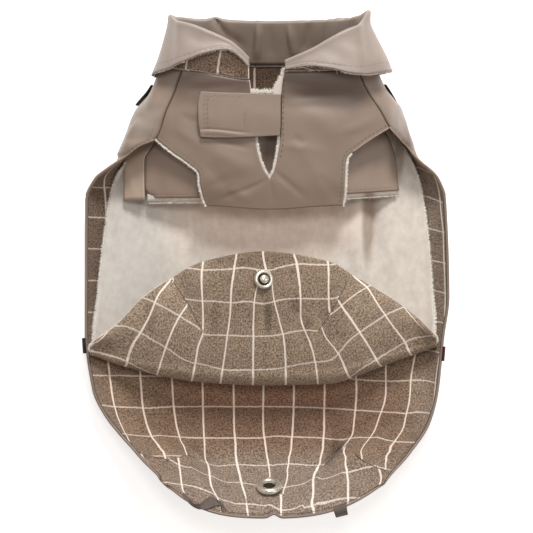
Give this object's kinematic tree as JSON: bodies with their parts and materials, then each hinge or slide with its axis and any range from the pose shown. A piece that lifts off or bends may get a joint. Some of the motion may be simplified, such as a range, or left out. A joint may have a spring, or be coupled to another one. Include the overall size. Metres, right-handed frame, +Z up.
{
  "type": "dog raincoat",
  "caption": "Small dog's raincoat with a turned-down collar and a snap-in fleece liner, lying open on its back, belly side up.",
  "frame": {"origin": "middle of the coat's outline seen from above, on the surface that it lies on", "axes": "+Y towards the head end, +Z up from the back of the coat to its belly, +X towards the wearer's left, which lies right when seen from above"},
  "size_m": [0.2732, 0.3707, 0.0561],
  "materials": {
    "taupe": "smooth coated cloth, satin",
    "check": "heather weave with a pale windowpane check, matte",
    "fleece": "cream fleece, matte",
    "nickel": "polished nickel plate",
    "black": "black webbing, matte",
    "ribbon": "dark taupe ribbon, matte"
  },
  "bodies": {
    "root": {"shell_back": "taupe", "chest_panel": "taupe", "chest_tab": "taupe", "inner_band": "taupe", "inner_band_side": "taupe", "collar_upper": "taupe", "shell_lining": "check", "liner_check": "check", "collar_under": "check", "liner_fleece": "fleece", "band_fleece": "fleece", "snap_stud": "nickel", "snap_socket": "nickel", "shoulder_loop_left": "black", "shoulder_loop_right": "black", "side_loop_left": "black", "side_loop_right": "black", "hem_loop_left": "ribbon", "hem_loop_right": "ribbon"}
  },
  "joints": []
}
